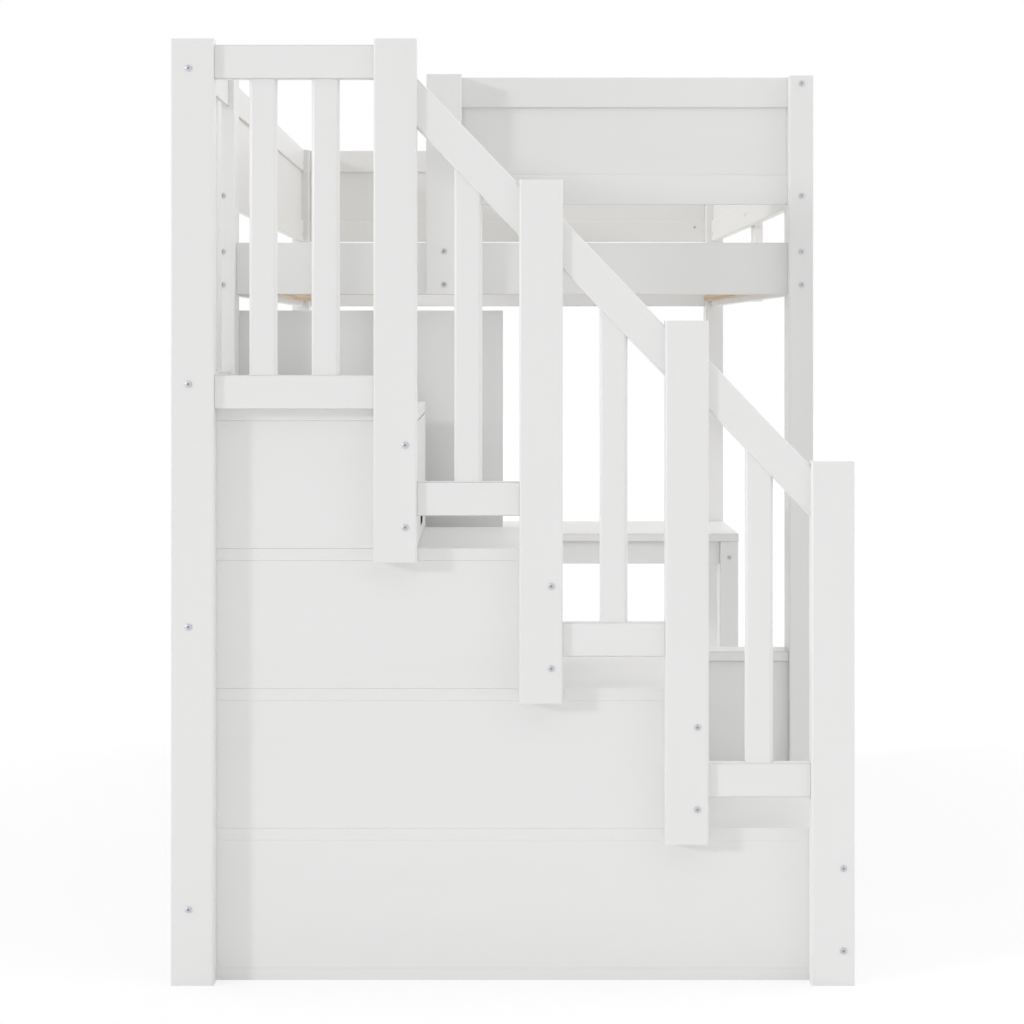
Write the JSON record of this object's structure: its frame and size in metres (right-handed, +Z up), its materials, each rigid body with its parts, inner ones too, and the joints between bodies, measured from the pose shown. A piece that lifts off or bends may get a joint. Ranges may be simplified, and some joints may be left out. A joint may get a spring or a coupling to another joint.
{
  "type": "loft bed",
  "caption": "White wooden loft bed on corner posts, with a drawer staircase and handrails across its end, framed guards, and a wardrobe and desk underneath",
  "frame": {"origin": "on the floor, under the middle of the whole outline", "axes": "+Z up, +Y along the bed from the staircase to the far end, +X towards the open long side, to the right as seen from the staircase"},
  "size_m": [1.466, 2.5588, 2.0264],
  "materials": {
    "white_lacquer": "opaque white satin lacquer on smooth wood, edges eased",
    "natural_pine": "planed unpainted pine",
    "drawer_birch": "sanded clear-coated birch plywood",
    "bolt_steel": "zinc-plated steel with a satin sheen",
    "pivot_steel": "plain turned steel",
    "rod_chrome": "polished chrome plate"
  },
  "bodies": {
    "frame": {"balusters": "white_lacquer", "bed_slats": "natural_pine", "bolt_heads": "bolt_steel", "desk_aprons": "white_lacquer", "desk_legs": "white_lacquer", "desk_top": "white_lacquer", "door_pivot_pins": "pivot_steel", "drawer_bay_backs": "white_lacquer", "drawer_runners": "drawer_birch", "end_panel": "white_lacquer", "end_panel_cap": "white_lacquer", "entry_post": "white_lacquer", "far_end_rail": "white_lacquer", "far_guard_panel": "white_lacquer", "far_guard_rails": "white_lacquer", "far_left_post": "white_lacquer", "far_right_post": "white_lacquer", "handrails": "white_lacquer", "hanging_rod": "rod_chrome", "left_guard_panel": "white_lacquer", "left_guard_rails": "white_lacquer", "left_side_rail": "white_lacquer", "middle_upright": "white_lacquer", "near_end_rail": "white_lacquer", "near_guard_panel": "white_lacquer", "near_guard_rails": "white_lacquer", "near_left_post": "white_lacquer", "near_right_post": "white_lacquer", "right_guard_panel": "white_lacquer", "right_guard_rails": "white_lacquer", "right_side_rail": "white_lacquer", "rod_sockets": "rod_chrome", "slat_ledgers": "natural_pine", "stair_base_board": "white_lacquer", "stair_end_panel": "white_lacquer", "stair_platform": "white_lacquer", "stair_rails": "white_lacquer", "stair_short_posts": "white_lacquer", "stair_side_panels": "white_lacquer", "stair_tall_post": "white_lacquer", "stair_tread_1": "white_lacquer", "stair_tread_2": "white_lacquer", "stair_tread_3": "white_lacquer", "wardrobe_back": "white_lacquer", "wardrobe_far_side": "white_lacquer", "wardrobe_near_side": "white_lacquer", "wardrobe_plinth": "white_lacquer", "wardrobe_shelves": "white_lacquer", "wardrobe_top": "white_lacquer"},
    "drawer_1": {"drawer_1_front": "white_lacquer", "drawer_1_box": "drawer_birch"},
    "drawer_2": {"drawer_2_front": "white_lacquer", "drawer_2_box": "drawer_birch"},
    "drawer_3": {"drawer_3_front": "white_lacquer", "drawer_3_box": "drawer_birch"},
    "drawer_4": {"drawer_4_front": "white_lacquer", "drawer_4_box": "drawer_birch"},
    "near_door": {"wardrobe_near_door": "white_lacquer"},
    "far_door": {"wardrobe_far_door": "white_lacquer"}
  },
  "joints": [
    {"name": "drawer_1_slide", "type": "slide", "parent": "frame", "child": "drawer_1", "axis": [1, 0, 0], "range_m": [0, 0.3]},
    {"name": "drawer_2_slide", "type": "slide", "parent": "frame", "child": "drawer_2", "axis": [1, 0, 0], "range_m": [0, 0.3]},
    {"name": "drawer_3_slide", "type": "slide", "parent": "frame", "child": "drawer_3", "axis": [1, 0, 0], "range_m": [0, 0.3]},
    {"name": "drawer_4_slide", "type": "slide", "parent": "frame", "child": "drawer_4", "axis": [1, 0, 0], "range_m": [0, 0.3]},
    {"name": "near_door_hinge", "type": "hinge", "parent": "frame", "child": "near_door", "pos_m": [-0.0284, -0.6245, 0.75625], "axis": [0, 0, -1], "range_deg": [0, 90]},
    {"name": "far_door_hinge", "type": "hinge", "parent": "frame", "child": "far_door", "pos_m": [-0.0284, 0.1165, 0.75625], "axis": [0, 0, 1], "range_deg": [0, 90]}
  ]
}
